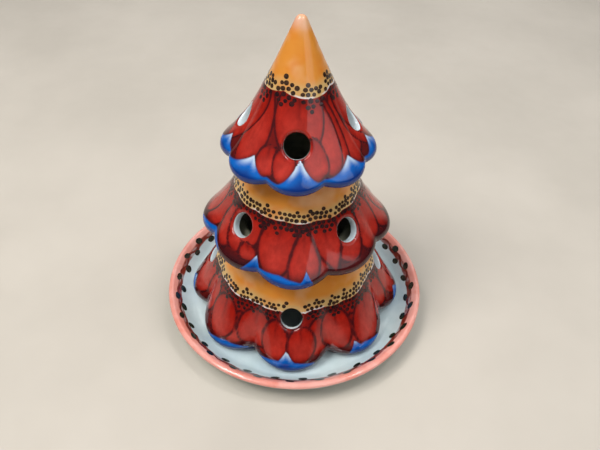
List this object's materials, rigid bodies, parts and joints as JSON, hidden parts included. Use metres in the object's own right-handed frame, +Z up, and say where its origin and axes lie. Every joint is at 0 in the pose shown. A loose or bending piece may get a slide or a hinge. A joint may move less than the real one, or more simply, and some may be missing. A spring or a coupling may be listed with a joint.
{
  "type": "candle lantern",
  "caption": "Glazed ceramic fir-tree candle lantern: a hollow scalloped three-tier tree with round light holes stands over a tea light on a round saucer.",
  "frame": {"origin": "middle of the saucer's foot ring, on the table", "axes": "+Z up along the axis of the tree and the saucer; -Y is the front, where a top and a bottom light hole face the viewer; +X is the viewer's right"},
  "size_m": [0.17, 0.17, 0.2014],
  "materials": {
    "saucer_glaze": "gloss",
    "tree_glaze": "gloss",
    "cup_foil": "satin",
    "wax": "satin",
    "wick_cotton": "matte",
    "sustainer_steel": "satin"
  },
  "bodies": {
    "saucer": {"saucer": "saucer_glaze"},
    "tree": {"tree_shade": "tree_glaze"},
    "tealight": {"tealight_cup": "cup_foil", "tealight_wax": "wax", "wick": "wick_cotton", "wick_sustainer": "sustainer_steel"}
  },
  "joints": [
    {"name": "tree_lift", "type": "slide", "parent": "saucer", "child": "tree", "axis": [0, 0, 1], "range_m": [0, 0.12]},
    {"name": "tealight_lift", "type": "slide", "parent": "saucer", "child": "tealight", "axis": [0, 0, 1], "range_m": [0, 0.03]}
  ]
}
